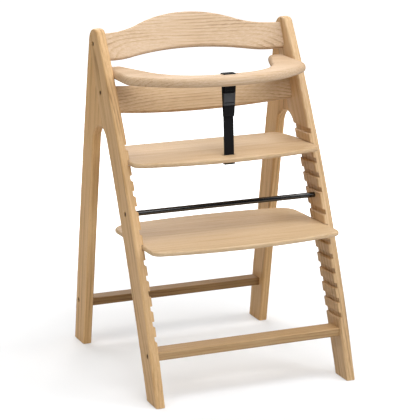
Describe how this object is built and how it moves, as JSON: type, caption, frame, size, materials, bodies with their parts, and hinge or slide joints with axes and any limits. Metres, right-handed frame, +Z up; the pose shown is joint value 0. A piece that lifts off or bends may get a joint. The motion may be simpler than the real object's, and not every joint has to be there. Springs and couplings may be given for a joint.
{
  "type": "baby high chair",
  "caption": "Wooden high chair with A-shaped side frames, grooved front legs, sliding seat and footrest boards, bent backrests, U-shaped guard bar and a webbing crotch strap.",
  "frame": {"origin": "on the floor, midway between the four feet", "axes": "+X to the right as seen from the front, -Y forward, +Z up"},
  "size_m": [0.498, 0.5591, 0.816],
  "materials": {
    "side_wood": "matt clear lacquer",
    "back_wood": "matt clear lacquer",
    "guard_wood": "matt clear lacquer",
    "board_wood": "matt clear lacquer",
    "bar_wood": "matt clear lacquer",
    "dowel_wood": "bare",
    "black_steel": "black oxide",
    "rod_steel": "gloss black",
    "steel": "zinc plated",
    "webbing": "woven black webbing",
    "slider_plastic": "satin dark grey"
  },
  "bodies": {
    "chair_frame": {"front_leg_left": "side_wood", "front_leg_right": "side_wood", "rear_leg_left": "side_wood", "rear_leg_right": "side_wood", "leg_joint_dowels": "dowel_wood", "upper_backrest": "back_wood", "lower_backrest": "back_wood", "backrest_screws": "black_steel", "backrest_dowels": "dowel_wood", "guard_bar": "guard_wood", "guard_pins": "steel", "front_crossbar": "bar_wood", "rear_crossbar": "bar_wood", "crossbar_bolts": "black_steel", "crossbar_barrel_nuts": "steel", "crossbar_dowels": "dowel_wood", "cross_rod": "rod_steel", "rod_bolts": "black_steel", "crotch_strap": "webbing"},
    "seat": {"seat_board": "board_wood", "strap_keeper": "webbing"},
    "footrest": {"footrest_board": "board_wood"},
    "slider": {"strap_slider": "slider_plastic"}
  },
  "joints": [
    {"name": "seat_slide", "type": "slide", "parent": "chair_frame", "child": "seat", "axis": [0, -0.9997, 0.0244], "range_m": [-0.02, 0.04]},
    {"name": "footrest_slide", "type": "slide", "parent": "chair_frame", "child": "footrest", "axis": [0, -0.9997, 0.0244], "range_m": [-0.05, 0.05]},
    {"name": "strap_slider_slide", "type": "slide", "parent": "chair_frame", "child": "slider", "axis": [0, 0, 1], "range_m": [-0.022, 0.003]}
  ]
}
